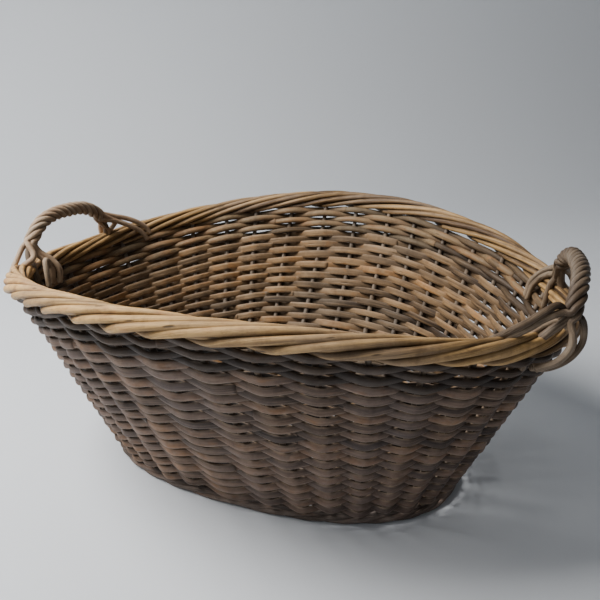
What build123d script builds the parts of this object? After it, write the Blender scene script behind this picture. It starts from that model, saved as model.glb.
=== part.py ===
from build123d import *
import math
import os

# Oval willow basket: sides of woven split willow, a band of round rods above them,
# a roped border and two roped handles.
#
# Frame: millimetres, origin on the floor under the middle of the base, +X along the
# long axis (through the handles), +Z up.

# ---- overall shape -------------------------------------------------------------
RIM_HALF_LENGTH = 320.0      # border centre line, along X
RIM_HALF_WIDTH = 261.5       # border centre line, along Y
RIM_EXPONENT = 1.81          # plan shape of the rim (2 is a true ellipse)
BASE_HALF_LENGTH = 212.0     # where the stakes turn up
BASE_HALF_WIDTH = 123.5
BASE_EXPONENT = 2.32
END_HEIGHT = 216.0           # border centre above the floor at the two ends
SIDE_RISE = 48.0             # how much higher the border is in the middle of the long sides
WALL_FOOT = 12.0             # height at which the wall starts, where the stakes turn up

# ---- side weaving --------------------------------------------------------------
STAKE_COUNT = 36
STAKE_RADIUS = 3.0
SPLIT_ROWS = 31              # rows of flat split willow
SPLIT_THICKNESS = 2.4
SPLIT_GAP = 0.35             # clear height between rows
SPLIT_START = 5.5            # along the wall, above the stakes' turn
SPLIT_CLEARANCE = 0.8        # between a split and the stake it passes
ROD_CLEARANCE = 0.25         # between a round weaver and the stick or stake it passes

# ---- band of round rods, and border --------------------------------------------
ROD_ROWS = 5
ROD_ROW_RADIUS = 3.1
ROD_ROW_PITCH = 7.25
ROD_ROW_TOP = 16.1           # top row's distance below the border centre line
SPLIT_STOP = ROD_ROW_TOP + ROD_ROW_PITCH * (ROD_ROWS - 0.5)
BORDER_CORE_RADIUS = 4.2
BORDER_ROD_RADIUS = 4.0
BORDER_STRANDS = 6           # rods seen in one cut through the border
BORDER_TURN = 8.75           # rod centre to border centre line
BORDER_START = 2.2           # how far round the core a rod starts below the outside, in radians
BORDER_END_GAP = 0.01        # share of a rod left out at each end, so that rods do not touch

# ---- foot and base -------------------------------------------------------------
FOOT_SECTION = [(-3, 0), (3, 0), (5, 2.2), (5, 5.3), (3, 7.5), (-3, 7.5), (-5, 5.3), (-5, 2.2)]
STAKE_STUB = 8.0             # how far a stake reaches in under the base
STAKE_BEND_RADIUS = 9.0
BASE_LEVEL = WALL_FOOT       # height of the base sticks' centre line
CROSS_STICKS = 7
CROSS_STICK_SPACING = 40.0
CROSS_STICK_RADIUS = 4.2
LONG_STICK_RADIUS = 1.9
LONG_STICK_SIDES = (4.0, 12.0)   # sideways places of the long sticks through the slits
LONG_STICK_ENDS = (22.0, 66.0)   # where they have fanned out to at the ends
LONG_STICK_FAN_START = 126.0
STICK_MARGIN = 10.0              # base sticks stop this far inside the base outline
SLATH_HALF_LENGTH = 132.0        # the first ring of base weaving
SLATH_HALF_WIDTH = 18.0
BASE_RINGS = 19
BASE_ROD_RADIUS = 1.7
BASE_MARGIN = 12.5               # the last ring's distance inside the base outline

# ---- handles -------------------------------------------------------------------
# Centre lines as (distance from the middle along X, Y, Z). Each strand has a tail at
# either leg: "near" is the -Y leg, "far" the +Y leg.
HANDLES = {
    "left": {
        "arch": [(296, -78, 247), (297, -72, 256), (297, -62, 267), (297, -48, 276.5), (297, -25, 281.5),
                 (297, 0, 281), (297, 25, 278), (297, 44, 271), (297, 56, 262), (296, 65, 251)],
        "near": [[(284, -83, 243), (289, -93, 234), (297, -100, 224), (300, -104, 213), (292, -107, 204)],
                 [(289, -72, 243), (279, -70, 233), (274, -68, 222), (275, -69, 206)],
                 [(286, -69, 246), (275, -61, 237), (267, -57, 224), (268, -58, 208)],
                 [(299, -74, 243)],
                 [(305, -80, 250), (308, -87, 239), (311, -91, 228), (309, -94, 216)]],
        "far": [[(290, 81, 257), (281, 96, 251), (270, 109, 241), (264, 117, 228), (262, 119, 214)],
                [(288, 77, 250), (280, 91, 241), (271, 104, 230), (268, 108, 216), (267, 109, 206)],
                [(289, 75, 246), (294, 82, 239), (304, 84, 232), (306, 85, 222), (303, 86, 208)],
                [(300, 69, 245)],
                [(306, 68, 250), (312, 72, 238), (314, 74, 226), (309, 76, 212)]],
        "bow": [[(294, -81, 238), (284, -84, 222), (279, -85, 200)], [(297, 61, 256.5)]],
        "tie": [(276, -76, 222), (274, -78, 232), (270, -80, 236), (263, -82, 230), (260, -84, 214)],
    },
    "right": {
        "arch": [(322, -76, 246), (326, -72, 256), (328, -62, 267), (328, -47, 276), (326, -25, 281),
                 (321, 0, 281.5), (314, 25, 280), (308, 42, 274), (303, 56, 264), (299, 66, 252)],
        "near": [[(318, -79, 256), (305, -90, 250), (294, -102, 244), (280, -114, 238), (266, -126, 230)],
                 [(328, -75, 247), (333, -66, 238), (334, -60, 228), (331, -61, 214)],
                 [(335, -64, 248), (338, -53, 238), (338, -48, 226), (334, -49, 212)],
                 [(310, -76, 246)],
                 [(313, -77, 261), (302, -87, 256), (289, -95, 252), (273, -104, 250), (254, -114, 246),
                  (237, -123, 241)]],
        "far": [[(297, 78, 252), (290, 92, 246), (279, 106, 237), (269, 112, 224), (264, 112, 208)],
                [(308, 73, 250), (315, 78, 238), (313, 82, 224), (306, 85, 208)],
                [(311, 68, 248), (319, 69, 236), (318, 70, 224), (312, 72, 210)],
                [(299, 70, 245)],
                [(293, 76, 245), (284, 86, 238), (275, 94, 228), (270, 98, 216), (266, 99, 204)]],
        "bow": [[(310, -81, 238), (296, -84, 222), (288, -85, 200)], [(301, 60, 259)]],
        "tie": [(290, -70, 232), (298, -72, 239), (308, -74, 238), (320, -76, 232), (323, -77, 220), (318, -78, 208)],
    },
}
BOW_RADIUS = 3.1
STRANDS = 5
STRAND_RADIUS = 2.75
STRAND_TURN = 6.2            # strand centre to bow centre
ROPE_LEAD = 52.0             # length of one full twist
ROPE_ENDS = 10.0             # bare bow at each end of the arch
ROPE_STEP = 6.0              # spacing of the frames along the arch
TIE_RADIUS = 2.9
TAIL_CLEARANCE = 0.4         # between a tail and the border rods it is laid over
TAIL_BIAS = 3.0              # pushes a tail that meets the border squarely to its own side


def octagon(radius):
    """Corners of a round rod's section, its flats at the stated radius on average."""
    corner = radius / math.cos(math.pi / 8) * 0.98
    return [(corner * math.cos(a), corner * math.sin(a))
            for a in (math.pi / 8 + i * math.pi / 4 for i in range(8))]


def strip_section(width, thickness):
    """Corners of a flat split: u runs up the wall, v runs outwards."""
    return [(-width / 2, -thickness / 2), (width / 2, -thickness / 2),
            (width / 2, thickness / 2), (-width / 2, thickness / 2)]


def section_points(frame, section):
    centre, u_axis, v_axis = frame
    return [centre + u_axis * u + v_axis * v for u, v in section]


def ring(frames, sections):
    """A closed ring through the frames; sections is one section per frame."""
    corners = [section_points(f, s) for f, s in zip(frames, sections)]
    edges = [Edge.make_spline(list(line), periodic=True) for line in zip(*corners)]
    faces = [Face.make_surface_from_curves(edges[i], edges[(i + 1) % len(edges)])
             for i in range(len(edges))]
    return outward(Solid(Shell(faces)))


def rod(frames, section):
    """An open rod through the frames with flat ends."""
    corners = [section_points(f, section) for f in frames]
    edges = [Edge.make_spline(list(line)) for line in zip(*corners)]
    faces = [Face.make_surface_from_curves(edges[i], edges[(i + 1) % len(edges)])
             for i in range(len(edges))]
    for end in (corners[0], corners[-1]):
        faces.append(Face(Wire.make_polygon(end, close=True)))
    return outward(Solid(Shell(faces)))


def outward(solid):
    """The same solid with its faces turned outwards."""
    return solid if solid.volume > 0 else Solid(solid.wrapped.Reversed())


def superellipse(half_length, half_width, exponent, angle):
    c, s = math.cos(angle), math.sin(angle)
    return Vector(math.copysign(abs(c) ** (2 / exponent), c) * half_length,
                  math.copysign(abs(s) ** (2 / exponent), s) * half_width, 0)


def border_height(x):
    return END_HEIGHT + SIDE_RISE * (1 - (x / RIM_HALF_LENGTH) ** 2)


def wall_ends(angle):
    """The foot and the border centre of the wall line at this angle."""
    low = superellipse(BASE_HALF_LENGTH, BASE_HALF_WIDTH, BASE_EXPONENT, angle)
    high = superellipse(RIM_HALF_LENGTH, RIM_HALF_WIDTH, RIM_EXPONENT, angle)
    return low + Vector(0, 0, WALL_FOOT), high + Vector(0, 0, border_height(high.X))


def wall_point(angle, fraction):
    low, high = wall_ends(angle)
    return low + (high - low) * fraction


def wall_frame(angle, fraction, out=0.0, lift=0.0):
    """Centre, up-the-wall and outward directions at a point of the wall."""
    low, high = wall_ends(angle)
    up = (high - low).normalized()
    along = (wall_point(angle + 0.01, fraction) - wall_point(angle - 0.01, fraction)).normalized()
    outwards = along.cross(up).normalized()
    centre = low + (high - low) * fraction + outwards * out + up * lift
    return centre, up, outwards


def even_angles(count, fraction):
    """Angles of evenly spaced points round the wall, starting at the front middle."""
    steps = 1440
    angles = [-math.pi / 2 + 2 * math.pi * i / steps for i in range(steps + 1)]
    points = [wall_point(a, fraction) for a in angles]
    run = [0.0]
    for p, q in zip(points, points[1:]):
        run.append(run[-1] + (q - p).length)
    found, k = [], 0
    for i in range(count):
        target = run[-1] * i / count
        while run[k + 1] < target:
            k += 1
        share = (target - run[k]) / (run[k + 1] - run[k])
        found.append(angles[k] + share * (angles[k + 1] - angles[k]))
    return found


STAKES = even_angles(STAKE_COUNT, 0.85)


def angle_at(place):
    """Angle of a place counted in stakes, fractions included."""
    i = math.floor(place)
    turns, j = divmod(i, STAKE_COUNT)
    start = STAKES[j]
    end = STAKES[(j + 1) % STAKE_COUNT] + (2 * math.pi if j + 1 == STAKE_COUNT else 0)
    return start + (place - i) * (end - start) + 2 * math.pi * turns


def split_fractions(angle):
    """Where the split rows start and stop on the wall line at this angle."""
    low, high = wall_ends(angle)
    length = (high - low).length
    return SPLIT_START / length, 1 - SPLIT_STOP / length


def split_row(row):
    """One closed row of flat split, in front of one stake and behind the next."""
    swing = STAKE_RADIUS + SPLIT_THICKNESS / 2 + SPLIT_CLEARANCE
    frames, sections = [], []
    for i in range(STAKE_COUNT * 2):
        angle = angle_at(i / 2)
        start, stop = split_fractions(angle)
        pitch = (stop - start) / SPLIT_ROWS
        low, high = wall_ends(angle)
        out = swing * math.cos(math.pi * (i / 2 + row))
        frames.append(wall_frame(angle, start + (row + 0.5) * pitch, out))
        sections.append(strip_section(pitch * (high - low).length - SPLIT_GAP, SPLIT_THICKNESS))
    return ring(frames, sections)


def rod_row(number):
    """One closed row of round rod in the same plain weave; number 0 is the lowest."""
    below_border = ROD_ROW_TOP + ROD_ROW_PITCH * (ROD_ROWS - 1 - number)
    swing = STAKE_RADIUS + ROD_ROW_RADIUS + ROD_CLEARANCE
    frames = []
    for i in range(STAKE_COUNT * 2):
        angle = angle_at(i / 2)
        low, high = wall_ends(angle)
        out = swing * math.cos(math.pi * (i / 2 + SPLIT_ROWS + number))
        frames.append(wall_frame(angle, 1 - below_border / (high - low).length, out))
    return ring(frames, [octagon(ROD_ROW_RADIUS)] * len(frames))


def border_frame(place):
    """Centre of the border, with its upward and outward directions."""
    angle = angle_at(place)
    low, high = wall_ends(angle)
    along = (wall_point(angle + 0.01, 1) - wall_point(angle - 0.01, 1)).normalized()
    outwards = along.cross(Vector(0, 0, 1)).normalized()
    return high, outwards.cross(along).normalized(), outwards


def border_rod(first_stake):
    """One border rod: a full turn round the core while it passes six stakes."""
    steps = 4 * BORDER_STRANDS
    frames = []
    for i in range(steps + 1):
        share = BORDER_END_GAP + (1 - 2 * BORDER_END_GAP) * i / steps
        centre, up, outwards = border_frame(first_stake + BORDER_STRANDS * share)
        turn = 2 * math.pi * share - BORDER_START
        radial = outwards * math.cos(turn) + up * math.sin(turn)
        around = up * math.cos(turn) - outwards * math.sin(turn)
        frames.append((centre + radial * BORDER_TURN, around, radial))
    return rod(frames, octagon(BORDER_ROD_RADIUS))


def stake(index):
    """A side stake: a short stub in under the base, a bend, then straight up to the border."""
    low, high = wall_ends(STAKES[index])
    up = (high - low).normalized()
    inwards = Vector(-low.X, -low.Y, 0).normalized()
    top = high - up * (BORDER_CORE_RADIUS + STAKE_RADIUS)
    path = FilletPolyline(low + inwards * STAKE_STUB, low, top, radius=STAKE_BEND_RADIUS)
    return sweep(Plane(path @ 0, z_dir=path % 0) * Circle(STAKE_RADIUS), path=path)


def border_core():
    """The bent-down stake butts in the middle of the border, as one ring."""
    frames = [border_frame(i / 2) for i in range(STAKE_COUNT * 2)]
    return ring(frames, [octagon(BORDER_CORE_RADIUS)] * len(frames))


def foot_ring():
    """The ring of twisted rods that the basket stands on, worn flat underneath."""
    corners = []
    for u, v in FOOT_SECTION:
        line = []
        for i in range(72):
            angle = 2 * math.pi * i / 72
            centre = superellipse(BASE_HALF_LENGTH, BASE_HALF_WIDTH, BASE_EXPONENT, angle)
            ahead = superellipse(BASE_HALF_LENGTH, BASE_HALF_WIDTH, BASE_EXPONENT, angle + 0.01)
            outwards = (ahead - centre).cross(Vector(0, 0, 1)).normalized()
            line.append(centre + outwards * u + Vector(0, 0, v))
        corners.append(line)
    edges = [Edge.make_spline(line, periodic=True) for line in corners]
    faces = [Face.make_surface_from_curves(edges[i], edges[(i + 1) % len(edges)])
             for i in range(1, len(edges))]
    faces.append(Face(Wire([edges[1]]), [Wire([edges[0]])]))
    return outward(Solid(Shell(faces)))


def base_reach(distance, length, width):
    """How far an oval of the base's shape reaches at this distance from its middle line."""
    return length * (1 - (abs(distance) / width) ** BASE_EXPONENT) ** (1 / BASE_EXPONENT)


def long_stick_reach(end):
    return base_reach(end, BASE_HALF_LENGTH - STICK_MARGIN, BASE_HALF_WIDTH - STICK_MARGIN)


def long_stick_y(side, end, x):
    """Sideways place of a long base stick at this distance from the middle."""
    share = (abs(x) - LONG_STICK_FAN_START) / (long_stick_reach(end) - LONG_STICK_FAN_START)
    return side + (end - side) * max(0.0, share)


def long_sticks():
    sticks = []
    for side, end in zip(LONG_STICK_SIDES, LONG_STICK_ENDS):
        reach = long_stick_reach(end)
        for hand in (1, -1):
            points = [(x, hand * long_stick_y(side, end, x), BASE_LEVEL)
                      for x in (-reach, -LONG_STICK_FAN_START, LONG_STICK_FAN_START, reach)]
            path = FilletPolyline(*points, radius=40)
            section = Plane(path @ 0, z_dir=path % 0) * Circle(LONG_STICK_RADIUS)
            sticks.append(sweep(section, path=path).solid())
    return sticks


def cross_sticks():
    """Short sticks across the base, slit for the long sticks to pass through."""
    slit = Box(4 * BASE_HALF_LENGTH, 2 * LONG_STICK_SIDES[-1] + 5, 2 * LONG_STICK_RADIUS + 0.2)
    slit = Pos(0, 0, BASE_LEVEL) * slit
    sticks = []
    for i in range(CROSS_STICKS):
        x = (i - (CROSS_STICKS - 1) / 2) * CROSS_STICK_SPACING
        length = 2 * base_reach(x, BASE_HALF_WIDTH - STICK_MARGIN, BASE_HALF_LENGTH - STICK_MARGIN)
        stick = Pos(x, 0, BASE_LEVEL) * Rot(90, 0, 0) * Cylinder(CROSS_STICK_RADIUS, length)
        sticks.append((stick - slit).solid())
    return sticks


def base_ring_outline(share):
    half_length = SLATH_HALF_LENGTH + (BASE_HALF_LENGTH - BASE_MARGIN - SLATH_HALF_LENGTH) * share
    half_width = SLATH_HALF_WIDTH + (BASE_HALF_WIDTH - BASE_MARGIN - SLATH_HALF_WIDTH) * share
    return half_length, half_width


def stick_crossings(half_length, half_width):
    """Angles at which a base ring meets the sticks, each with its stick's radius."""
    quarter = []
    for i in range((CROSS_STICKS + 1) // 2):
        c = (i * CROSS_STICK_SPACING / half_length) ** (BASE_EXPONENT / 2)
        quarter.append((math.acos(c), CROSS_STICK_RADIUS))
    for side, end in zip(LONG_STICK_SIDES, LONG_STICK_ENDS):
        low, high = 0.0, math.pi / 2
        for _ in range(40):
            angle = (low + high) / 2
            p = superellipse(half_length, half_width, BASE_EXPONENT, angle)
            if p.Y > long_stick_y(side, end, p.X):
                high = angle
            else:
                low = angle
        quarter.append((angle, LONG_STICK_RADIUS))
    full = []
    for angle, radius in quarter:
        for other in {round(a % (2 * math.pi), 9) for a in
                      (angle, math.pi - angle, math.pi + angle, 2 * math.pi - angle)}:
            full.append((other, radius))
    return sorted(full)


def base_ring(index):
    """One closed ring of base weaving, over one stick and under the next."""
    half_length, half_width = base_ring_outline(index / (BASE_RINGS - 1))
    crossings = stick_crossings(half_length, half_width)
    frames = []
    for k, (angle, radius) in enumerate(crossings):
        after = crossings[(k + 1) % len(crossings)][0] + (2 * math.pi if k + 1 == len(crossings) else 0)
        swing = (radius + BASE_ROD_RADIUS + ROD_CLEARANCE) * (1 if (k + index) % 2 else -1)
        for place, lift in ((angle, swing), ((angle + after) / 2, 0.0)):
            centre = superellipse(half_length, half_width, BASE_EXPONENT, place)
            ahead = superellipse(half_length, half_width, BASE_EXPONENT, place + 0.01)
            outwards = (ahead - centre).cross(Vector(0, 0, 1)).normalized()
            frames.append((centre + Vector(0, 0, BASE_LEVEL + lift), outwards, Vector(0, 0, 1)))
    return ring(frames, [octagon(BASE_ROD_RADIUS)] * len(frames))


def spread(points, spacing):
    """Even points, with directions, along a smooth line through the points."""
    line = Spline(*points)
    count = round(line.length / spacing)
    return [(line @ (i / count), line % (i / count)) for i in range(count + 1)]


def smoothed(points):
    """A tail's points made dense; a tail cut off at the arch is one point and stays so."""
    return [point for point, _ in spread(points, ROPE_STEP)] if len(points) > 1 else points


def carried_frames(points):
    """Frames along a path, each turned as little as possible from the one before."""
    frames = []
    side = Vector(1, 0.2, 0.1)
    for point, along in spread(points, ROPE_STEP):
        side = (side - along * along.dot(side)).normalized()
        frames.append((point, side, along.cross(side)))
    return frames


def placed(points, side):
    """Centre-line points moved to the +X (side 1) or -X (side -1) end of the basket."""
    return [Vector(side * x, y, z) for x, y, z in points]


def lay_clear(points, radius, rim):
    """A tail's centre line moved out of the border, and of the rod band under it."""
    border_reach = BORDER_TURN + BORDER_ROD_RADIUS + radius + TAIL_CLEARANCE
    band_reach = STAKE_RADIUS + 2 * ROD_ROW_RADIUS + radius + TAIL_CLEARANCE
    moved = []
    hand = None
    for point in reversed(points):
        centre, down, outwards = min(rim, key=lambda place: (place[0] - point).length)
        depth = max(0.0, (point - centre).dot(down))
        nearest = centre + down * depth
        away = point - nearest
        if hand is None:
            hand = math.copysign(1, away.dot(outwards))
        reach = max(math.sqrt(max(0.0, border_reach ** 2 - depth ** 2)), band_reach)
        if away.length < reach:
            point = nearest + (away + outwards * hand * TAIL_BIAS).normalized() * reach
        moved.append(point)
    return moved[::-1]


def rim_places():
    """Border centres with the downward and outward directions of the wall there."""
    places = []
    for i in range(STAKE_COUNT * 16):
        angle = angle_at(i / 16)
        low, high = wall_ends(angle)
        places.append((high, (low - high).normalized(), wall_frame(angle, 1.0)[2]))
    return places


def handle_bow(plan, side, rim):
    """The rod inside one handle: two legs and the arch between them."""
    near_leg, far_leg = (lay_clear(smoothed(placed(leg, side)), BOW_RADIUS, rim) for leg in plan["bow"])
    path = [*reversed(near_leg), *placed(plan["arch"], side)[1:-1], *far_leg]
    return rod(carried_frames(path), octagon(BOW_RADIUS))


def handle_strands(plan, side, rim):
    """The rods roped round the arch, their ends led down over and behind the border."""
    arch = spread(placed(plan["arch"], side), ROPE_STEP)
    length = ROPE_STEP * (len(arch) - 1)
    steps = round((length - 2 * ROPE_ENDS) / ROPE_LEAD * STRANDS)
    first = math.ceil(ROPE_ENDS / ROPE_STEP)
    wound = arch[first:-first]
    strands = []
    for k in range(STRANDS):
        near = lay_clear(smoothed(placed(plan["near"][k], side)), STRAND_RADIUS, rim)
        far = lay_clear(smoothed(placed(plan["far"][(k + steps) % STRANDS], side)), STRAND_RADIUS, rim)
        path = near[::-1]
        for i, (centre, along) in enumerate(wound):
            turn = 2 * math.pi / STRANDS * (k + steps * i / (len(wound) - 1))
            lengthwise = (Vector(1, 0, 0) - along * along.X).normalized()
            raised = lengthwise.cross(along)
            path.append(centre + (raised * math.cos(turn) + lengthwise * math.sin(turn)) * STRAND_TURN)
        strands.append(rod(carried_frames(path + far), octagon(STRAND_RADIUS)))
    return strands


def handle_tie(plan, side, rim):
    """The rod end that crosses over the border beside the near leg."""
    return rod(carried_frames(lay_clear(smoothed(placed(plan["tie"], side)), TIE_RADIUS, rim)), octagon(TIE_RADIUS))


def save(name, *solids):
    shape = solids[0] if len(solids) == 1 else Compound(children=list(solids))
    shape.label = name
    export_step(shape, f"parts/{name}.step")


os.makedirs("parts", exist_ok=True)

save("foot_ring", foot_ring())
save("base_cross_sticks", *cross_sticks())
save("base_long_sticks", *long_sticks())
save("base_weaving", *[base_ring(i) for i in range(BASE_RINGS)])
save("side_stakes", *[stake(i).solid() for i in range(STAKE_COUNT)])
for row in range(SPLIT_ROWS):
    save(f"split_row_{row + 1:02d}", split_row(row))
for number in range(ROD_ROWS):
    save(f"rod_row_{number + 1}", rod_row(number))
save("border_core", border_core())
save("border_rods", *[border_rod(i) for i in range(STAKE_COUNT)])
rim = rim_places()
for name, side in (("left", -1), ("right", 1)):
    plan = HANDLES[name]
    save(f"{name}_handle_bow", handle_bow(plan, side, rim))
    save(f"{name}_handle_strands", *handle_strands(plan, side, rim))
    save(f"{name}_handle_tie", handle_tie(plan, side, rim))
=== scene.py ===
import math

import bpy
import numpy as np
from mathutils import Matrix, Vector


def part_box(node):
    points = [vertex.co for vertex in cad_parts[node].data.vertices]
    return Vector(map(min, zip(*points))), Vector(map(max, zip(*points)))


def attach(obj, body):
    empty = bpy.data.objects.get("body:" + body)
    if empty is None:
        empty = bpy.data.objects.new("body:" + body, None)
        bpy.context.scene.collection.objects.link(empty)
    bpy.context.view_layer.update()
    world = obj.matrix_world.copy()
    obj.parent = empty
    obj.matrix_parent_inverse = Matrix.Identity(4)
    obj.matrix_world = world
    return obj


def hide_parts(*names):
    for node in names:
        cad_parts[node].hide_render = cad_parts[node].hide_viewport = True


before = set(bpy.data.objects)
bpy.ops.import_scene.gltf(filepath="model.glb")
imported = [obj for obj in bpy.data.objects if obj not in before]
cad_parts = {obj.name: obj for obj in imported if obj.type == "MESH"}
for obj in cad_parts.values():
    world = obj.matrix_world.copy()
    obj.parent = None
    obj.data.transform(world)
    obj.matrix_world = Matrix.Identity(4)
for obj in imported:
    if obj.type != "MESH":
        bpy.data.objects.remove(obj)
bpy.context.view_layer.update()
rng = np.random.default_rng(41)

# ------------------------------------------------------------------ sizes, in metres
MM = 0.001
TAU = 2 * math.pi
STAKES = 36
ROWS = sum(name.startswith("split_row_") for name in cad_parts)
ROD_ROWS = sum(name.startswith("rod_row_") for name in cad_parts)
WALL_FOOT = 12 * MM           # height at which the stakes turn up
CORE_RADIUS = 4.2 * MM        # of the CAD border core
FOOT_HALF_WIDTH = 5 * MM      # of the CAD foot ring
RIM_EXPONENT = 1.81
BASE_EXPONENT = 2.32
ROD_ROW_PITCH = 7.3 * MM
ROD_ROW_TOP = 13.8 * MM       # top rod row below the border centre line, along the wall
SPLIT_START = 3.5 * MM        # first split row above the turn of the stakes
SPLIT_STOP = ROD_ROW_TOP + ROD_ROW_PITCH * (ROD_ROWS - 0.5)

core_low, core_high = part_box("border_core")
foot_low, foot_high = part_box("foot_ring")
RIM_A = core_high.x - CORE_RADIUS
RIM_B = core_high.y - CORE_RADIUS
END_HEIGHT = core_low.z + CORE_RADIUS
SIDE_RISE = core_high.z - CORE_RADIUS - END_HEIGHT
BASE_A = foot_high.x - FOOT_HALF_WIDTH
BASE_B = foot_high.y - FOOT_HALF_WIDTH
SMALL_ANGLE = 0.004           # between two points that give a direction round the basket
Z_UP = np.array([0, 0, 1.0])


# ------------------------------------------------------------------ curves
def unit(v):
    return v / np.linalg.norm(v, axis=-1, keepdims=True)


def distance_along(points):
    steps = np.linalg.norm(np.diff(points, axis=0), axis=1)
    return np.concatenate([[0], np.cumsum(steps)])


def spline(points, count):
    """Catmull-Rom curve through points, resampled to count evenly spaced ones."""
    p = np.asarray(points, float)
    p = np.concatenate([[2 * p[0] - p[1]], p, [2 * p[-1] - p[-2]]])
    out = []
    for i in range(1, len(p) - 2):
        a, b, c, d = p[i - 1:i + 3]
        for f in np.linspace(0, 1, 16, endpoint=False):
            bend = 2 * a - 5 * b + 4 * c - d + f * (3 * (b - c) + d - a)
            out.append(b + 0.5 * f * (c - a + f * bend))
    out.append(p[-2])
    out = np.array(out)
    run = distance_along(out)
    want = np.linspace(0, run[-1], count)
    return np.stack([np.interp(want, run, out[:, k]) for k in range(3)], -1)


def transport_frames(points, hint):
    """Two unit vectors across a path at each point; the second follows hint."""
    along = unit(np.gradient(points, axis=0))
    v = unit(hint - along * np.sum(hint * along, axis=-1, keepdims=True))
    u = np.cross(v, along)
    return u, v


def wave(x, rate):
    """A sine wave along a rod that starts anywhere."""
    return np.sin(x * rate + rng.uniform(0, TAU))


# ------------------------------------------------------------------ the wall surface
def superellipse(a, b, n, angle):
    c, s = np.cos(angle), np.sin(angle)
    x = np.sign(c) * np.abs(c) ** (2 / n) * a
    y = np.sign(s) * np.abs(s) ** (2 / n) * b
    return x, y


def wall_ends(angle):
    """Foot and border centre of the wall line at each angle, as (N, 3) arrays."""
    lx, ly = superellipse(BASE_A, BASE_B, BASE_EXPONENT, angle)
    hx, hy = superellipse(RIM_A, RIM_B, RIM_EXPONENT, angle)
    low = np.stack([lx, ly, np.full_like(lx, WALL_FOOT)], -1)
    high = np.stack([hx, hy, END_HEIGHT + SIDE_RISE * (1 - (hx / RIM_A) ** 2)], -1)
    return low, high


def place_table(fraction=0.85, steps=2880):
    """Angles and stake counts round the wall: stakes stand at equal steps along it."""
    angle = -math.pi / 2 + TAU * np.arange(steps + 1) / steps
    low, high = wall_ends(angle)
    run = distance_along(low + (high - low) * fraction)
    return angle, run / run[-1] * STAKES


TABLE_ANGLE, TABLE_PLACE = place_table()


def angle_at(place):
    turns = np.floor(place / STAKES)
    return np.interp(place - turns * STAKES, TABLE_PLACE, TABLE_ANGLE) + turns * TAU


def wall(place, fraction=None, below=None, out=0.0, lift=0.0):
    """Centre, up-the-wall and outward unit vectors at places counted in stakes.

    fraction runs from 0 at the foot to 1 at the border; below is a distance down from
    the border instead. out and lift are moves off the wall and up it.
    """
    place = np.asarray(place, float)
    angle = angle_at(place)
    low, high = wall_ends(angle)
    if fraction is None:
        fraction = 1 - below / np.linalg.norm(high - low, axis=-1)
    share = np.broadcast_to(fraction, place.shape)[:, None]
    up = unit(high - low)
    low1, high1 = wall_ends(angle - SMALL_ANGLE)
    low2, high2 = wall_ends(angle + SMALL_ANGLE)
    along = unit((low2 + (high2 - low2) * share) - (low1 + (high1 - low1) * share))
    outward = unit(np.cross(along, up))
    centre = low + (high - low) * share
    centre = centre + outward * np.broadcast_to(out, place.shape)[:, None]
    centre = centre + up * np.broadcast_to(lift, place.shape)[:, None]
    return centre, up, outward


def wall_length(place):
    low, high = wall_ends(angle_at(np.asarray(place, float)))
    return np.linalg.norm(high - low, axis=-1)


def rim(place):
    """Centre of the border with level-up and outward unit vectors."""
    angle = angle_at(np.asarray(place, float))
    high = wall_ends(angle)[1]
    along = unit(wall_ends(angle + SMALL_ANGLE)[1] - wall_ends(angle - SMALL_ANGLE)[1])
    outward = unit(np.cross(along, Z_UP))
    up = unit(np.cross(outward, along))
    return high, up, outward


# ------------------------------------------------------------------ rods and splits
CAP_SHARES = np.array([0.45, 0.8])    # of the way in from the tip, for the rings that round an end
TIP_REACH = 0.12                      # of the cap, from its outer ring to the tip


def round_profile(count=10):
    a = TAU * np.arange(count) / count
    return np.stack([np.cos(a), np.sin(a)], -1)


def split_profile():
    """A split's section: flat inner face, slightly crowned outer face, softened edges."""
    return np.array([(-1.0, -0.35), (-0.86, -0.95), (-0.3, -1.0), (0.3, -1.0), (0.86, -0.95), (1.0, -0.35),
                     (0.93, 0.45), (0.62, 0.9), (0.2, 1.06), (-0.2, 1.06), (-0.62, 0.9), (-0.93, 0.45)])


def openness(across, through, depth, crease):
    """How open each point of a section is to light, from 0 to 1; the material paints shade where it is low.

    across and through are its place in the section, along u and v. depth and crease
    are as in Bundle.add.
    """
    # painted shade: the flanks and back of a creased rod, away from v, are darker
    if depth is None:
        return 1 - crease * np.clip(0.72 - 0.9 * through, 0, 1)
    # painted shade: a face turned into the wall where the rod passes a stake is darker, and a split's outer
    # face darkens towards its upper edge, under the row above
    outer_face = 0.58 + 0.55 * depth - 0.34 * across
    inner_face = 0.80 - 0.38 * depth + 0.12 * across
    return np.clip(np.where(through > 0, outer_face, inner_face), 0, 1)


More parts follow.
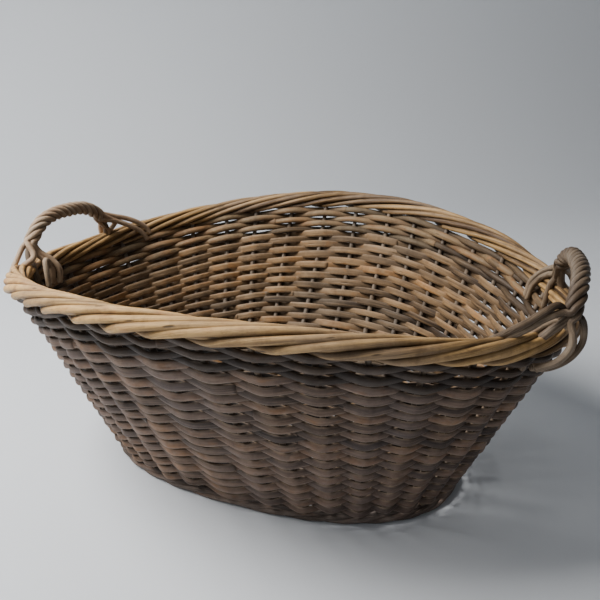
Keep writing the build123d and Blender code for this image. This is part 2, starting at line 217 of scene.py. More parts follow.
class Bundle:
    """Collects rods and splits into one mesh, with what their material reads at each point."""

    def __init__(self):
        self.points = []
        self.faces = []
        self.layers = {"grain": [], "tone": [], "outer": [], "openness_to_light": [], "edge": []}
        self.count = 0

    def add(self, centre, u, v, half_width, half_thick, profile, tone=0.0, cap=0.6, depth=None, crease=0.0):
        """Skins a closed tube along centre.

        half_width and half_thick are sizes along u and v, at each point or the same all
        along, as tone is. cap rounds the ends, as a share of the half width. depth is 1
        where the rod lies outside the wall's middle and -1 where it lies inside; the material
        paints shade from it on the faces turned into the wall. crease is how much the rod's
        flanks and back, away from v, are pressed against its neighbours and darkened there
        with painted shade.
        """
        n = len(centre)
        half_width = np.broadcast_to(half_width, n).astype(float)
        half_thick = np.broadcast_to(half_thick, n).astype(float)
        along = unit(np.gradient(centre, axis=0))

        # the rings: those of the rod, and smaller ones past both its ends
        shares = CAP_SHARES if cap else np.zeros(0)
        reach = (cap * (1 - shares))[:, None]
        shrink = np.sqrt(1 - (1 - shares) ** 2)
        ahead = along[0] * half_width[0]
        behind = along[-1] * half_width[-1]
        middle = np.concatenate([centre[0] - ahead * reach, centre, centre[-1] + behind * reach[::-1]])
        width = np.concatenate([half_width[0] * shrink, half_width, half_width[-1] * shrink[::-1]])
        thick = np.concatenate([half_thick[0] * shrink, half_thick, half_thick[-1] * shrink[::-1]])
        source = np.clip(np.arange(len(middle)) - len(shares), 0, n - 1)

        # the skin: the profile's points round every ring, and a tip at each end
        rings, sides = len(middle), len(profile)
        across = np.broadcast_to(profile[:, 0], (rings, sides))
        through = np.broadcast_to(profile[:, 1], (rings, sides))
        pu = across * width[:, None]
        pv = through * thick[:, None]
        skin = middle[:, None] + u[source][:, None] * pu[..., None] + v[source][:, None] * pv[..., None]
        tips = [middle[0] - ahead * cap * TIP_REACH, middle[-1] + behind * cap * TIP_REACH]
        self.points.append(np.concatenate([skin.reshape(-1, 3), tips]))
        self.add_faces(rings, sides)

        # what the material reads, with the same values at a tip as beside it
        seed = rng.uniform(0, 40)
        run = np.broadcast_to(distance_along(middle)[:, None] + seed, (rings, sides))
        grain = np.stack([run, pu + 0.37 * seed, pv], -1)
        # how open each point is to light, from which the material paints shade
        lie = None if depth is None else depth[source][:, None]
        pressed = np.broadcast_to(crease, n)[source][:, None]
        openness_to_light = openness(across, through, lie, pressed)
        shade = np.broadcast_to(tone, n)[source]
        self.layers["grain"].append(np.concatenate([grain.reshape(-1, 3), grain[[0, -1], 0]]))
        self.layers["tone"].append(np.concatenate([np.repeat(shade, sides), shade[[0, -1]]]))
        self.layers["outer"].append(np.append(through, [0, 0]))
        self.layers["openness_to_light"].append(np.append(openness_to_light, [0.5, 0.5]))
        self.layers["edge"].append(np.append(np.abs(across) > 0.9, [1, 1]))

    def add_faces(self, rings, sides):
        """Faces between the rings, and a fan to the tip at each end."""
        index = self.count + np.arange(rings * sides).reshape(rings, sides)
        following = np.roll(index, -1, axis=1)
        tip = np.full(sides, self.count + rings * sides)
        quads = np.stack([index[:-1], following[:-1], following[1:], index[1:]], -1)
        first_fan = np.stack([following[0], index[0], tip], -1)
        last_fan = np.stack([index[-1], following[-1], tip + 1], -1)
        self.faces += quads.reshape(-1, 4).tolist() + first_fan.tolist() + last_fan.tolist()
        self.count += rings * sides + 2

    def build(self, node, material):
        """Makes the piece, lets it ride on the basket and stand for its CAD node."""
        mesh = bpy.data.meshes.new(node + "_look")
        mesh.from_pydata(np.concatenate(self.points).tolist(), [], self.faces)
        mesh.polygons.foreach_set("use_smooth", np.ones(len(mesh.polygons), bool))
        for label, parts in self.layers.items():
            kind, key = ("FLOAT_VECTOR", "vector") if label == "grain" else ("FLOAT", "value")
            layer = mesh.attributes.new(label, kind, "POINT")
            layer.data.foreach_set(key, np.concatenate(parts).astype(np.float32).ravel())
        mesh.update()
        mesh.materials.append(material)
        piece = bpy.data.objects.new(node + "_look", mesh)
        bpy.context.scene.collection.objects.link(piece)
        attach(piece, "root")
        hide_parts(node)


# ------------------------------------------------------------------ materials
class Shading:
    """Makes and joins the nodes of one material."""

    def __init__(self, name):
        self.material = bpy.data.materials.new(name)
        self.material.use_nodes = True
        self.tree = self.material.node_tree
        self.tree.nodes.clear()

    def node(self, kind, **settings):
        made = self.tree.nodes.new("ShaderNode" + kind)
        for key, value in settings.items():
            setattr(made, key, value)
        return made

    def put(self, value, socket):
        """Joins an output to a socket, or sets the socket to a plain value."""
        if hasattr(value, "is_output"):
            self.tree.links.new(value, socket)
        elif socket.type == "RGBA":
            socket.default_value = (*value, 1)
        else:
            socket.default_value = value

    def attribute(self, label, output="Fac"):
        return self.node("Attribute", attribute_name=label).outputs[output]

    def stretch(self, vector, scale):
        made = self.node("VectorMath", operation="MULTIPLY")
        self.put(vector, made.inputs[0])
        self.put(scale, made.inputs[1])
        return made.outputs[0]

    def noise(self, vector, scale=1.0, detail=4.0, roughness=0.6, distortion=0.0):
        made = self.node("TexNoise")
        self.put(vector, made.inputs["Vector"])
        self.put(scale, made.inputs["Scale"])
        self.put(detail, made.inputs["Detail"])
        self.put(roughness, made.inputs["Roughness"])
        self.put(distortion, made.inputs["Distortion"])
        return made.outputs["Fac"]

    def cells(self, vector):
        made = self.node("TexVoronoi")
        self.put(vector, made.inputs["Vector"])
        self.put(1.0, made.inputs["Scale"])
        return made.outputs["Distance"]

    def ramp(self, factor, stops):
        made = self.node("ValToRGB")
        elements = made.color_ramp.elements
        while len(elements) < len(stops):
            elements.new(0.5)
        for element, (position, colour) in zip(elements, stops):
            element.position = position
            element.color = (*colour, 1)
        self.put(factor, made.inputs["Fac"])
        return made.outputs["Color"]

    def mix(self, factor, a, b, kind="MIX"):
        made = self.node("Mix", data_type="RGBA", blend_type=kind)
        self.put(factor, made.inputs["Factor"])
        self.put(a, made.inputs[6])
        self.put(b, made.inputs[7])
        return made.outputs[2]

    def maths(self, operation, a, b, c=None, clamp=False):
        made = self.node("Math", operation=operation, use_clamp=clamp)
        self.put(a, made.inputs[0])
        self.put(b, made.inputs[1])
        if c is not None:
            self.put(c, made.inputs[2])
        return made.outputs[0]


BLACK = (0, 0, 0)
WHITE = (1, 1, 1)
TONE_STEP = 0.16              # how far one step of tone moves a rod from dark to light
TONE_BASE = 0.19
BAND_STREAKS = 0.62           # how strongly the wide and the fine streaks show
FIBRE_STREAKS = 0.55
GRAIN_SCALES = {"fibres": (28, 1500, 1500), "bands": (11, 330, 330), "mottle": (75, 160, 160),
                "knots": (26, 140, 140)}     # along the rod, then across it, per metre


def scaled(colour, factors):
    return [c * f for c, f in zip(colour, factors)]


def wood_colour(shading, bands, fibres, dark, light, streak):
    """Streaks along the rod between the dark and the light colour, moved by the rod's tone."""
    body = shading.maths("MULTIPLY_ADD", bands, BAND_STREAKS * streak, TONE_BASE)
    fine = shading.maths("MULTIPLY", shading.maths("SUBTRACT", fibres, 0.5), FIBRE_STREAKS * streak)
    shift = shading.maths("MULTIPLY", shading.attribute("tone"), TONE_STEP)
    body = shading.maths("ADD", shading.maths("ADD", body, fine), shift, clamp=True)
    middle = [(d + l) / 2 for d, l in zip(dark, light)]
    return shading.ramp(body, [(0.18, dark), (0.5, middle), (0.82, light)])


def weathered(shading, colour, mottle, red, grey):
    """Ruddy patches of bark and silvery patches of age over the wood."""
    patch = shading.maths("ADD", mottle, shading.maths("MULTIPLY", shading.attribute("tone"), 0.10))
    ruddy = shading.ramp(patch, [(0.55, BLACK), (0.74, WHITE)])
    colour = shading.mix(shading.maths("MULTIPLY", ruddy, 0.55), colour, red)
    position = shading.node("TexCoord").outputs["Object"]
    silver = shading.ramp(shading.noise(position, 9.0), [(0.42, BLACK), (0.68, WHITE)])
    return shading.mix(shading.maths("MULTIPLY", silver, 0.5), colour, grey)


def lit_and_clean_inside(shading, colour, amount):
    """Faces turned to the inside of the basket are lighter and yellower: partly painted light, as they take
    the light from above, and partly as they lie out of the dust.
    """
    facing = shading.maths("MULTIPLY_ADD", shading.attribute("outer"), -0.6, 0.35, clamp=True)
    bright = shading.mix(1.0, colour, scaled((1, 0.95, 0.66), [amount] * 3), "MULTIPLY")
    return shading.mix(facing, colour, bright)


def shaded_and_grimy(shading, colour):
    """Painted shade in the crossings and under the border, where a point is less open to light, with fine
    grime all over.
    """
    # painted shade: darker where a point is less open to light
    painted_shade = shading.ramp(shading.attribute("openness_to_light"),
                             [(0.0, (0.11, 0.10, 0.10)), (0.5, (0.50, 0.48, 0.46)), (1.0, WHITE)])
    colour = shading.mix(1.0, colour, painted_shade, "MULTIPLY")
    position = shading.node("TexCoord").outputs["Object"]
    grime = shading.ramp(shading.noise(position, 55.0, 5, 0.7), [(0.30, (0.45, 0.42, 0.40)), (0.55, WHITE)])
    return shading.mix(0.7, colour, grime, "MULTIPLY")


def willow(name, dark, light, red, grey, gloss, inner_light_and_clean=0.0, streak=1.0, knots=0.5, edges=0.0):
    """Willow: long grain streaks, patches of colour, knots and a dusty surface, with painted light and
    shade: lighter inner faces, pale arrises and darker crossings.

    gloss is the roughness of the shiniest and of the dullest streaks. edges is how far
    a split's two arrises are painted pale: partly a painted highlight, partly paler cut wood.
    """
    shading = Shading(name)
    grain = shading.attribute("grain", "Vector")
    fibres = shading.noise(shading.stretch(grain, GRAIN_SCALES["fibres"]), 1.0, 5, 0.65)
    bands = shading.noise(shading.stretch(grain, GRAIN_SCALES["bands"]), 1.0, 4, 0.6, 0.4)
    mottle = shading.noise(shading.stretch(grain, GRAIN_SCALES["mottle"]), 1.0, 3, 0.55)
    knot_cells = shading.cells(shading.stretch(grain, GRAIN_SCALES["knots"]))
    knot_spots = shading.ramp(knot_cells, [(0.10, WHITE), (0.17, BLACK)])

    colour = wood_colour(shading, bands, fibres, dark, light, streak)
    colour = weathered(shading, colour, mottle, red, grey)
    # inner faces lightened: partly painted light, partly less dust
    if inner_light_and_clean:
        colour = lit_and_clean_inside(shading, colour, inner_light_and_clean)
    if edges:
        # the arrises paler: partly a painted highlight along them, partly the paler cut wood of the split
        arris = shading.maths("MULTIPLY", shading.attribute("edge"), edges)
        highlit_pale_arris = scaled([light[0]] * 3, (1.2, 0.95, 0.72))
        colour = shading.mix(arris, colour, highlit_pale_arris)
    colour = shaded_and_grimy(shading, colour)
    colour = shading.mix(shading.maths("MULTIPLY", knot_spots, knots), colour, scaled(dark, [0.35] * 3))

    surface = shading.node("BsdfPrincipled")
    shading.put(0.35, surface.inputs["Specular IOR Level"])
    shading.put(colour, surface.inputs["Base Color"])
    shine, dull = gloss
    shading.put(shading.ramp(bands, [(0.3, (dull,) * 3), (0.7, (shine,) * 3)]), surface.inputs["Roughness"])
    height = shading.maths("MULTIPLY_ADD", fibres, 0.6, shading.maths("MULTIPLY", bands, 0.5))
    height = shading.maths("SUBTRACT", height, shading.maths("MULTIPLY", knot_spots, 0.5))
    bump = shading.node("Bump")
    shading.put(0.8, bump.inputs["Strength"])
    shading.put(1.1 * MM, bump.inputs["Distance"])
    shading.put(height, bump.inputs["Height"])
    shading.put(bump.outputs["Normal"], surface.inputs["Normal"])
    shading.put(surface.outputs[0], shading.node("OutputMaterial").inputs["Surface"])
    return shading.material


SPLIT = willow("split_willow", dark=(0.026, 0.016, 0.012), light=(0.255, 0.165, 0.112),
               red=(0.240, 0.108, 0.034), grey=(0.150, 0.118, 0.112), gloss=(0.5, 0.75),
               inner_light_and_clean=1.42, streak=1.35, knots=0.15, edges=0.45)
ROUND = willow("round_willow", dark=(0.035, 0.022, 0.015), light=(0.17, 0.115, 0.078),
               red=(0.14, 0.062, 0.028), grey=(0.12, 0.10, 0.088), gloss=(0.5, 0.75),
               inner_light_and_clean=1.7, knots=0.3)
BORDER = willow("border_willow", dark=(0.062, 0.031, 0.013), light=(0.60, 0.366, 0.138),
                red=(0.36, 0.155, 0.045), grey=(0.30, 0.220, 0.155), gloss=(0.45, 0.68),
                streak=1.6, knots=0.75)
HANDLE = willow("handle_willow", dark=(0.070, 0.044, 0.025), light=(0.54, 0.405, 0.275),
                red=(0.30, 0.16, 0.075), grey=(0.33, 0.275, 0.210), gloss=(0.42, 0.68), knots=0.35)
STAKE = willow("stake_willow", dark=(0.050, 0.036, 0.026), light=(0.24, 0.180, 0.125),
               red=(0.17, 0.09, 0.045), grey=(0.15, 0.13, 0.11), gloss=(0.5, 0.75), knots=0.3)
FOOT = willow("foot_willow", dark=(0.045, 0.032, 0.025), light=(0.20, 0.150, 0.120),
              red=(0.15, 0.080, 0.045), grey=(0.15, 0.125, 0.112), gloss=(0.55, 0.8), knots=0.2)
BASE = willow("base_willow", dark=(0.045, 0.032, 0.024), light=(0.22, 0.165, 0.115),
              red=(0.15, 0.08, 0.042), grey=(0.15, 0.13, 0.11), gloss=(0.55, 0.8), knots=0.25)


# ------------------------------------------------------------------ stakes
STAKE_SHIFT = rng.normal(0, 0.035, STAKES)      # in stakes, off the even places
STAKE_POINTS = 44
STAKE_FOOT_RADIUS = 3.3 * MM
STAKE_TOP_RADIUS = 2.8 * MM
STAKE_STOP = 7 * MM                             # below the border centre line
STAKE_STUB = ((12, -1), (6, -1.2), (1.5, 0.0))  # millimetres in from the turn, and up


def make_stakes():
    bundle = Bundle()
    for i in range(STAKES):
        fraction = np.linspace(0.0, 1.0, STAKE_POINTS)
        place = np.full(STAKE_POINTS, float(i)) + STAKE_SHIFT[i] + 0.05 * wave(fraction, 5)
        top = 1 - STAKE_STOP / wall_length([i])[0]
        centre, up, outward = wall(place, fraction=fraction * top)
        centre = centre + outward * 0.5 * MM * wave(fraction, 17)[:, None]
        inward = unit(centre[0] * [-1, -1, 0])
        stub = [centre[0] + (inward * d + Z_UP * z) * MM for d, z in STAKE_STUB]
        path = spline(np.concatenate([stub, centre[2:]]), 52)
        halfway_up = outward[20]
        u, v = transport_frames(path, np.tile(halfway_up, (len(path), 1)))
        radius = np.linspace(STAKE_FOOT_RADIUS, STAKE_TOP_RADIUS, len(path)) * rng.uniform(0.92, 1.08)
        bundle.add(path, u, v, radius, radius, round_profile(10), rng.normal(0, 0.8))
    bundle.build("side_stakes", STAKE)


make_stakes()


# ------------------------------------------------------------------ split rows
SPLIT_HALF_THICK = 1.35 * MM
SPLIT_LENGTHS = 3              # lengths of split in a row
SPLIT_SWING_OUT = 6.2 * MM     # from the middle of the wall to the middle of a split
SPLIT_SWING_IN = 4.4 * MM
SPLIT_STIFFNESS = 0.82         # nearer to 1, the split runs straighter from stake to stake
SPLIT_RIDE = 0.3 * MM          # a split rides this much higher outside than in the middle
SPLIT_WIDTH = 9.6 * MM
PITCH_SHARE = 0.6              # how far a split's width follows the room in its row
PITCH_FILL = 1.16              # width of a split that follows its row, in row pitches
WIDE_ROWS = 5                  # rows at the top with wider splits
WIDE_ROW_WIDTH = 1.1           # of the width lower down
LEAN = math.radians(16)        # of a split's face from the wall
LEAN_WANDER = math.radians(4)
POINTS_PER_STAKE = 14
DRIFT_STARTS = rng.uniform(0, TAU, 8)[:3]


def row_drift(place, row):
    """How far the rows as a whole wander up and down, so that neighbours keep their distance."""
    x = place / STAKES * TAU
    y = row / ROWS
    long, middle, short = DRIFT_STARTS
    drift = 0.9 * np.sin(3 * x + long + 4 * y) + 0.7 * np.sin(7 * x + middle - 6 * y)
    drift = drift + 0.5 * np.sin(12 * x + short + 9 * y)
    return drift * MM * np.sin(math.pi * y) ** 0.5


def swing_profile(x):
    """In front of even stakes and behind odd ones, nearly straight between them."""
    return np.arcsin(SPLIT_STIFFNESS * np.cos(math.pi * x)) / math.asin(SPLIT_STIFFNESS)


def places_between(first, last):
    return np.linspace(first, last, int((last - first) * POINTS_PER_STAKE))


def make_split(bundle, row, begin, length):
    """One length of split in its row; begin and length are counted in stakes."""
    tone = rng.normal(0, 0.95)
    lap = rng.uniform(0.7, 1.2)
    first = round(begin) - lap / 2
    last = round(begin + length) + lap / 2
    place = places_between(first, last)
    size = wall_length(place)
    low = SPLIT_START / size
    pitch = (1 - SPLIT_STOP / size - low) / ROWS
    lift = row_drift(place, row) + 0.35 * MM * wave(place, 1.7)
    x = swing_profile(place + row)
    swing = np.where(x > 0, SPLIT_SWING_OUT, SPLIT_SWING_IN) + 0.4 * MM * wave(place, 2.3)
    # the ends of two lengths lie one on the other behind a stake
    ends = np.clip(1.2 - np.minimum(place - first, last - place) / 0.9, 0, 1)
    lay = 1.0 * MM if rng.random() < 0.5 else -0.6 * MM
    centre, up, outward = wall(place, fraction=low + (row + 0.5) * pitch, out=swing * x + lay * ends,
                               lift=lift + SPLIT_RIDE * x)
    lean = (LEAN + LEAN_WANDER * wave(place, 0.9))[:, None]
    u = up * np.cos(lean) - outward * np.sin(lean)
    v = outward * np.cos(lean) + up * np.sin(lean)
    width = PITCH_SHARE * PITCH_FILL * pitch * size + (1 - PITCH_SHARE) * SPLIT_WIDTH
    if row >= ROWS - WIDE_ROWS:
        width = width * WIDE_ROW_WIDTH
    width = width * rng.uniform(0.94, 1.07) * (1 + 0.04 * wave(place, 1.3))
    thick = SPLIT_HALF_THICK * rng.uniform(0.85, 1.15)
    # the splits are darker at the right end of the basket: painted shade, as the light falls from the left
    tone = tone - 0.9 * np.cos(angle_at(place))
    bundle.add(centre, u, v, width / 2, thick, split_profile(), tone, cap=0.0, depth=x)


def make_split_row(row):
    bundle = Bundle()
    begin = rng.uniform(0, STAKES)
    for length in rng.dirichlet([9] * SPLIT_LENGTHS) * STAKES:
        make_split(bundle, row, begin, length)
        begin += length
    bundle.build(f"split_row_{row + 1:02d}", SPLIT)


for row in range(ROWS):
    make_split_row(row)


# ------------------------------------------------------------------ rod rows
ROD_LENGTHS = 3                # rods in a row
ROD_SWING = 4.9 * MM
ROD_BUTT = 3.8 * MM            # radius at a rod's thick end
ROD_TIP = 3.2 * MM
ROD_TALL = 1.22                # a rod's half height and half depth on the wall, in radii
ROD_DEEP = 0.95
LOOSE_ANGLE = 0.9              # where the rod band runs loose, at the back right
LOOSE_DROP = 2.2 * MM


def make_rod_row(number):
    """A row of round rods in plain weave, above the splits; row 0 is the lowest."""
    bundle = Bundle()
    row = ROWS + number
    depth = ROD_ROW_TOP + ROD_ROW_PITCH * (ROD_ROWS - 1 - number)
    start = rng.uniform(0, STAKES)
    for part in range(ROD_LENGTHS):
        first = round(start + part * STAKES / ROD_LENGTHS) - rng.uniform(0.5, 0.8)
        last = round(start + (part + 1) * STAKES / ROD_LENGTHS) + rng.uniform(0.4, 0.8)
        place = places_between(first, last)
        x = np.cos(math.pi * (place + row)) * (1 + 0.12 * np.cos(TAU * (place + row)))
        swing = ROD_SWING + 0.5 * MM * wave(place, 1.9)
        lift = row_drift(place, ROWS - 4) + 0.5 * MM * wave(place, 1.4)
        loose = np.clip(np.cos(angle_at(place) - LOOSE_ANGLE), 0, 1) ** 4 * number / ROD_ROWS
        centre, up, outward = wall(place, below=depth + LOOSE_DROP * loose, out=swing * x, lift=lift)
        u, v = transport_frames(centre, outward)
        radius = np.linspace(ROD_BUTT, ROD_TIP, len(place)) * rng.uniform(0.95, 1.06)
        radius = radius * (1 + 0.04 * wave(place, 3))
        # darker at the right end of the basket: painted shade, as the light falls from the left
        tone = rng.normal(0, 0.9) - 0.6 * np.cos(angle_at(place))
        bundle.add(centre, u, v, ROD_TALL * radius, ROD_DEEP * radius, round_profile(10), tone, depth=x)
    bundle.build(f"rod_row_{number + 1}", ROUND)


for number in range(ROD_ROWS):
    make_rod_row(number)


# ------------------------------------------------------------------ border
CORE_RODS = 3
CORE_ROD_RADIUS = 4.1 * MM
CORE_ROD_REACH = 3.3 * MM      # from the border's centre to a core rod's centre
CORE_LAY = 5.2                 # stakes in one turn of the core
BORDER_REACH = 8.8 * MM        # from the border's centre to a border rod's centre
BORDER_BEGIN = -0.42           # stakes from a border rod's own place to its two ends
BORDER_END = 5.7
# a border rod's way round the core: degrees from outside, at steps counted in stakes
BORDER_TURNS = np.radians([-150, -62, -20, 18, 55, 95, 140, 190, 236])
BORDER_STEPS = np.array([BORDER_BEGIN, -0.1, 0.35, 1.1, 1.95, 2.85, 3.8, 4.9, BORDER_END])


def around_rim(place, turn, reach):
    """Points at an angle round the border: 0 outside, a quarter turn up, half a turn inside."""
    centre, up, outward = rim(place)
    turn = np.asarray(turn)[:, None]
    radial = outward * np.cos(turn) + up * np.sin(turn)
    return centre + radial * np.asarray(reach)[:, None], radial


def make_border_core():
    core = Bundle()
    place = np.linspace(0.0, STAKES + 0.6, 420)
    for k in range(CORE_RODS):
        turn = TAU * (place / CORE_LAY + k / CORE_RODS)
        centre, radial = around_rim(place, turn, np.full(len(place), CORE_ROD_REACH))
        u, v = transport_frames(centre, radial)
        tone = rng.normal(0, 0.5) - 1.5
        core.add(centre, u, v, CORE_ROD_RADIUS, CORE_ROD_RADIUS, round_profile(10), tone)
    core.build("border_core", BORDER)


def make_border_rods():
    rods = Bundle()
    s = np.linspace(BORDER_BEGIN, BORDER_END, 90)
    turn = np.interp(s, BORDER_STEPS, BORDER_TURNS)
    turn = np.convolve(np.pad(turn, 6, "edge"), np.ones(13) / 13, "valid")
    thickness = np.interp(s, [BORDER_BEGIN, 0.3, 2.5, BORDER_END], [3.9, 4.3, 3.95, 3.1]) * MM
    for i in range(STAKES):
        slack = rng.normal(0, 0.11)
        place = i + 0.35 + s + STAKE_SHIFT[i] + rng.normal(0, 0.06)
        reach = BORDER_REACH + 0.6 * MM * wave(s, 1.7) + rng.normal(0, 0.4) * MM
        reach = reach - 1.8 * MM * np.clip(1 - (s - BORDER_BEGIN) / 0.5, 0, 1)
        centre, radial = around_rim(place, turn + slack, reach)
        u, v = transport_frames(centre, radial)
        radius = thickness * rng.uniform(0.92, 1.08)
        radius = radius * (1 + 0.03 * wave(s, 5))
        # lightest at the left end and at the front: painted light, as the lamp stands at the front left
        middle = angle_at(i + 2.0)
        tone = rng.normal(-0.9, 0.8) - 1.15 * np.cos(middle) - 1.1 * np.sin(middle)
        # painted shade in the creases where the border rods press together
        rods.add(centre, u, v, radius, radius, round_profile(14), tone, crease=0.85)
    rods.build("border_rods", BORDER)


make_border_core()
make_border_rods()


# ------------------------------------------------------------------ foot ring
FOOT_RODS = 3
FOOT_ROD_RADIUS = 3.0 * MM
FOOT_ROD_HEIGHT = 5.4 * MM
FOOT_LAY = 4                   # stakes in one turn of the foot rods
CLOSING_ROD_RADIUS = 3.1 * MM
CLOSING_ROD_INSET = 0.8 * MM
CLOSING_ROD_HEIGHT = 9.6 * MM


def base_oval(angle, inset, height):
    x, y = superellipse(BASE_A, BASE_B, BASE_EXPONENT, angle)
    x1, y1 = superellipse(BASE_A, BASE_B, BASE_EXPONENT, angle + SMALL_ANGLE)
    zero = np.zeros_like(x)
    outward = np.cross(unit(np.stack([x1 - x, y1 - y, zero], -1)), Z_UP)
    centre = np.stack([x, y, zero + height], -1)
    return centre - outward * np.broadcast_to(inset, x.shape)[:, None], outward


def make_foot():
    bundle = Bundle()
    place = np.linspace(0, STAKES + 0.5, 560)
    angle = angle_at(place)
    for k in range(FOOT_RODS):
        turn = TAU * (place / FOOT_LAY + k / FOOT_RODS)
        inset = -(0.6 + 2.6 * np.cos(turn)) * MM
        centre, outward = base_oval(angle, inset, FOOT_ROD_HEIGHT + 2.3 * MM * np.sin(turn))
        u, v = transport_frames(centre, outward)
        radius = FOOT_ROD_RADIUS * (1 + 0.06 * np.sin(place * 0.8 + k))
        bundle.add(centre, u, v, radius, radius, round_profile(10), rng.normal(0, 0.8))
    # the rod that closes the corner between the foot and the first split row
    centre, outward = base_oval(angle, CLOSING_ROD_INSET, CLOSING_ROD_HEIGHT)
    u, v = transport_frames(centre, outward)
    bundle.add(centre, u, v, CLOSING_ROD_RADIUS, CLOSING_ROD_RADIUS, round_profile(10), -1.5)
    bundle.build("foot_ring", FOOT)


make_foot()

# the base keeps its CAD shape
for name in ("base_cross_sticks", "base_long_sticks", "base_weaving"):
    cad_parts[name].data.materials.clear()
    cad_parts[name].data.materials.append(BASE)


# ------------------------------------------------------------------ handles
# Points in millimetres: outwards from the middle, along Y, up. The rods of "near" and
# "far" are the strands' free ends, from the arch outwards, at its front and back legs.
HANDLES = {
    "left": {
        "tone": 2.4,
        "arch": [(296, -78, 247), (297, -72, 256), (297, -62, 267), (297, -48, 276.5), (297, -25, 281.5),
                 (297, 0, 281), (297, 25, 278), (297, 44, 271), (297, 56, 262), (296, 65, 251)],
        "near": [[(284, -83, 243), (289, -93, 234), (297, -100, 224), (300, -104, 213), (292, -107, 204)],
                 [(289, -72, 243), (281, -68, 233), (275, -65, 222), (276, -66, 206)],
                 [(287, -69, 244), (277, -63, 235), (269, -59, 222), (270, -60, 206)],
                 [(297, -74, 236), (299, -76, 224), (296, -78, 206)],
                 [(303, -81, 250), (303, -92, 238), (304, -101, 226), (303, -105, 213), (294, -108, 204)]],
        "far": [[(290, 80, 256), (282, 94, 251), (273, 106, 244), (266, 116, 235), (262, 121, 226)],
                [(288, 77, 251), (281, 90, 244), (273, 102, 236), (267, 111, 227), (264, 116, 218)],
                [(287, 76, 250), (293, 78, 241), (300, 76, 234), (304, 78, 222), (302, 80, 206)],
                [(296, 70, 240), (299, 74, 228), (297, 76, 206)],
                [(306, 70, 250), (312, 76, 238), (313, 80, 224), (306, 84, 206)]],
        "bow": [[(294, -81, 238), (284, -84, 222), (279, -85, 200)],
                [(297, 70, 240), (303, 75, 224), (300, 78, 204)]],
        "tie": [(276, -66, 226), (275, -71, 235), (273, -77, 236), (269, -81, 226), (266, -83, 208)],
    },
    "right": {
        "tone": -2.2,
        "arch": [(322, -76, 246), (326, -72, 256), (328, -62, 267), (328, -47, 276), (326, -25, 281),
                 (321, 0, 281.5), (314, 25, 280), (308, 42, 274), (303, 56, 264), (299, 66, 252)],
        "near": [[(318, -79, 256), (305, -90, 252), (294, -102, 246), (280, -114, 240), (264, -125, 230)],
                 [(326, -78, 247), (329, -80, 237), (328, -84, 225), (319, -92, 214), (303, -100, 208)],
                 [(334, -66, 248), (337, -62, 236), (336, -63, 222), (327, -72, 210), (312, -84, 204),
                  (298, -92, 205)],
                 [(306, -76, 240), (296, -80, 224), (292, -82, 204)],
                 [(314, -78, 262), (304, -89, 258), (294, -101, 252), (280, -113, 245), (262, -126, 236),
                  (246, -136, 226)]],
        "far": [[(297, 78, 252), (289, 92, 246), (277, 104, 236), (266, 109, 222), (262, 108, 206)],
                [(308, 72, 250), (314, 75, 237), (312, 78, 222), (303, 82, 206)],
                [(310, 68, 248), (318, 70, 236), (316, 72, 222), (308, 76, 206)],
                [(296, 72, 242), (290, 74, 230), (286, 76, 206)],
                [(294, 76, 245), (286, 88, 239), (276, 97, 230), (268, 102, 218), (264, 102, 204)]],
        "bow": [[(310, -81, 238), (296, -84, 222), (288, -85, 200)],
                [(301, 71, 240), (304, 75, 224), (300, 78, 204)]],
        "tie": [(290, -84, 226), (298, -80, 238), (310, -76, 245), (321, -71, 242), (329, -66, 230),
                (327, -70, 216), (315, -82, 206), (300, -92, 206)],
    },
}
BOW_RADIUS = 4.3 * MM
TIE_RADIUS = 3.3 * MM
STRANDS = 5
STRAND_RADIUS = 3.4 * MM
ROPE_RADIUS = 5.5 * MM        # strand centre to bow centre
ROPE_LEAD = 50 * MM           # one full twist at the top of the arch
ROPE_ENDS = 9 * MM            # bare bow at each end of the arch
LEG_TWIST = 0.55              # the twist at the legs, as a share of the twist at the top
ARCH_POINTS = 160
LEG_POINTS = 12               # of the arch, over which the rope opens into free ends


def make_bow(side, plan, world, arch):
    bow = Bundle()
    near_leg, far_leg = (np.array(leg) * world for leg in plan["bow"])
    path = spline(np.concatenate([near_leg[::-1], arch[4:-4:12], far_leg]), 130)
    u, v = transport_frames(path, np.tile([1.0, 0, 0], (len(path), 1)))
    bow.add(path, u, v, BOW_RADIUS, BOW_RADIUS, round_profile(12), -1.6)
    bow.build(f"{side}_handle_bow", HANDLE)


def rope_turns(s, total):
    """The twist at distances along the arch, and its whole steps from strand to strand."""
    middle = np.sin(math.pi * (s - ROPE_ENDS) / (total - 2 * ROPE_ENDS)) ** 0.6
    rate = TAU / ROPE_LEAD * (LEG_TWIST + (1 - LEG_TWIST) * middle)
    twist = np.concatenate([[0], np.cumsum((rate[1:] + rate[:-1]) / 2 * np.diff(s))])
    steps = round(twist[-1] / (TAU / STRANDS))
    return twist * (steps * TAU / STRANDS) / twist[-1], steps


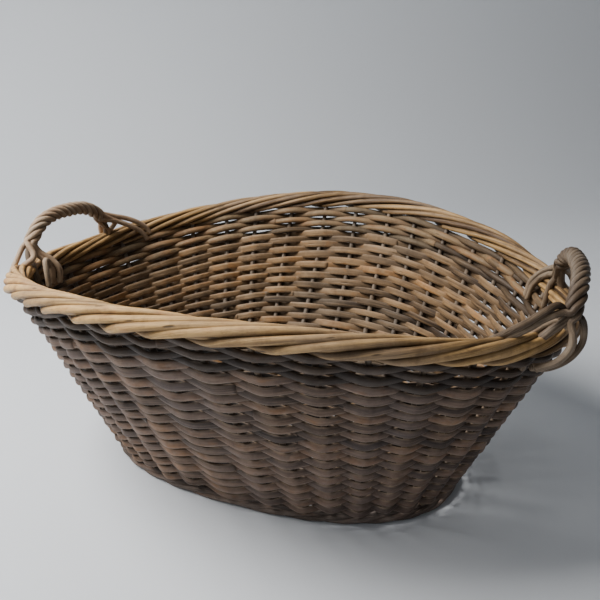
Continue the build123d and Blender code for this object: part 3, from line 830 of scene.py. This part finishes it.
def make_strands(side, plan, world, arch):
    strands = Bundle()
    along = unit(np.gradient(arch, axis=0))
    sideways = unit(np.array([1.0, 0, 0]) - along * along[:, :1])
    outwards = np.cross(sideways, along)
    run = distance_along(arch)
    s = np.linspace(ROPE_ENDS, run[-1] - ROPE_ENDS, 110)
    twist, steps = rope_turns(s, run[-1])

    def on_arch(values):
        return np.stack([np.interp(s, run, values[:, j]) for j in range(3)], -1)

    for k in range(STRANDS):
        turn = (TAU * k / STRANDS + twist)[:, None]
        swell = ROPE_RADIUS * (1 + 0.03 * np.sin(s * 70 + k))[:, None]
        radial = unit(on_arch(outwards)) * np.cos(turn) + unit(on_arch(sideways)) * np.sin(turn)
        wound = on_arch(arch) + radial * swell
        near = np.array(plan["near"][k]) * world
        far = np.array(plan["far"][(k + steps) % STRANDS]) * world
        path = spline(np.concatenate([near[::-1], wound[::3], far]), 300)
        nearest = np.linalg.norm(path[:, None] - arch[None], axis=-1).argmin(1)
        u, v = transport_frames(path, path - arch[nearest])
        # 1 where the strand is in the rope, 0 where it runs free, and paler there
        roped = np.clip(np.minimum(nearest, len(arch) - 1 - nearest) / LEG_POINTS, 0, 1)
        radius = STRAND_RADIUS * rng.uniform(0.94, 1.06)
        tone = rng.normal(plan["tone"], 0.6) + 1.1 * (1 - roped)
        # painted shade in the creases of the rope, fading out on the free ends
        strands.add(path, u, v, radius, radius, round_profile(12), tone, crease=0.75 * roped)
    strands.build(f"{side}_handle_strands", HANDLE)


def make_tie(side, plan, world):
    tie = Bundle()
    path = spline(np.array(plan["tie"]) * world, 60)
    u, v = transport_frames(path, np.tile([0.1, 1.0, 0.1], (len(path), 1)))
    tie.add(path, u, v, TIE_RADIUS, TIE_RADIUS, round_profile(12), 0.6)
    tie.build(f"{side}_handle_tie", HANDLE)


for side, sign in (("left", -1), ("right", 1)):
    plan = HANDLES[side]
    world = np.array([sign, 1, 1]) * MM
    arch = spline(np.array(plan["arch"]) * world, ARCH_POINTS)
    make_bow(side, plan, world, arch)
    make_strands(side, plan, world, arch)
    make_tie(side, plan, world)


# ------------------------------------------------------------------ stage, light, camera
def make_floor():
    """A pale paper sweep: the floor runs back and curves up into the backdrop."""
    front, back, bend, height, half_width = -3.0, 1.1, 0.7, 3.0, 4.0
    steps = 24
    profile = [(front, 0.0), (back, 0.0)]
    for i in range(1, steps + 1):
        a = i / steps * math.pi / 2
        profile.append((back + bend * math.sin(a), bend * (1 - math.cos(a))))
    profile.append((back + bend, height))
    points = [(x, y, z) for y, z in profile for x in (-half_width, half_width)]
    faces = [(2 * i, 2 * i + 1, 2 * i + 3, 2 * i + 2) for i in range(len(profile) - 1)]
    mesh = bpy.data.meshes.new("floor")
    mesh.from_pydata(points, [], faces)
    mesh.polygons.foreach_set("use_smooth", np.ones(len(mesh.polygons), bool))
    material = bpy.data.materials.new("pale_floor")
    material.use_nodes = True
    shader = material.node_tree.nodes["Principled BSDF"]
    shader.inputs["Base Color"].default_value = (0.60, 0.63, 0.67, 1)
    shader.inputs["Roughness"].default_value = 0.7
    mesh.materials.append(material)
    floor = bpy.data.objects.new("floor", mesh)
    # turned a little, so that the backdrop rises square behind the basket in the picture
    floor.rotation_euler.z = 0.7
    bpy.context.scene.collection.objects.link(floor)


def make_world(colour, strength):
    world = bpy.data.worlds.new("studio")
    world.use_nodes = True
    background = world.node_tree.nodes["Background"]
    background.inputs["Color"].default_value = (*colour, 1)
    background.inputs["Strength"].default_value = strength
    bpy.context.scene.world = world


def area_light(name, location, target, size, power, colour):
    light = bpy.data.lights.new(name, "AREA")
    light.shape = "RECTANGLE"
    light.size, light.size_y = size
    light.energy = power
    light.color = colour
    lamp = bpy.data.objects.new(name, light)
    lamp.location = location
    lamp.rotation_euler = (Vector(target) - Vector(location)).to_track_quat("-Z", "Y").to_euler()
    bpy.context.scene.collection.objects.link(lamp)


def make_camera(azimuth, elevation, roll, distance, target, lens):
    """Looks at target from the front right and above, as the photo does; angles in radians."""
    level = math.cos(elevation)
    back = Vector((math.sin(azimuth) * level, -math.cos(azimuth) * level, math.sin(elevation)))
    flat_right = (-back).cross(Vector((0, 0, 1))).normalized()
    flat_up = flat_right.cross(-back)
    right = math.cos(roll) * flat_right + math.sin(roll) * flat_up
    up = math.cos(roll) * flat_up - math.sin(roll) * flat_right
    camera = bpy.data.objects.new("camera", bpy.data.cameras.new("camera"))
    camera.data.sensor_width = 36
    camera.data.lens = lens
    turn = Matrix((right, up, back)).transposed().to_4x4()
    camera.matrix_world = Matrix.Translation(Vector(target) + back * distance) @ turn
    bpy.context.scene.collection.objects.link(camera)
    bpy.context.scene.camera = camera


make_floor()
make_world(colour=(0.95, 0.97, 1.0), strength=0.17)
area_light("key", location=(-0.9, -0.55, 1.5), target=(0, 0.0, 0.1), size=(0.9, 0.9), power=66,
           colour=(1.0, 0.975, 0.94))
area_light("backdrop", location=(-2.3, 0.7, 1.4), target=(-2.0, 1.8, 1.0), size=(0.8, 0.8), power=52,
           colour=(0.98, 1.0, 0.97))
area_light("fill", location=(-0.5, -2.0, 1.3), target=(0, 0, 0.1), size=(1.5, 1.0), power=6,
           colour=(0.95, 0.97, 1.0))
make_camera(azimuth=0.433, elevation=0.338, roll=-0.012, distance=0.8804, target=(0.0232, 0.0092, 0.1992),
            lens=45.6)
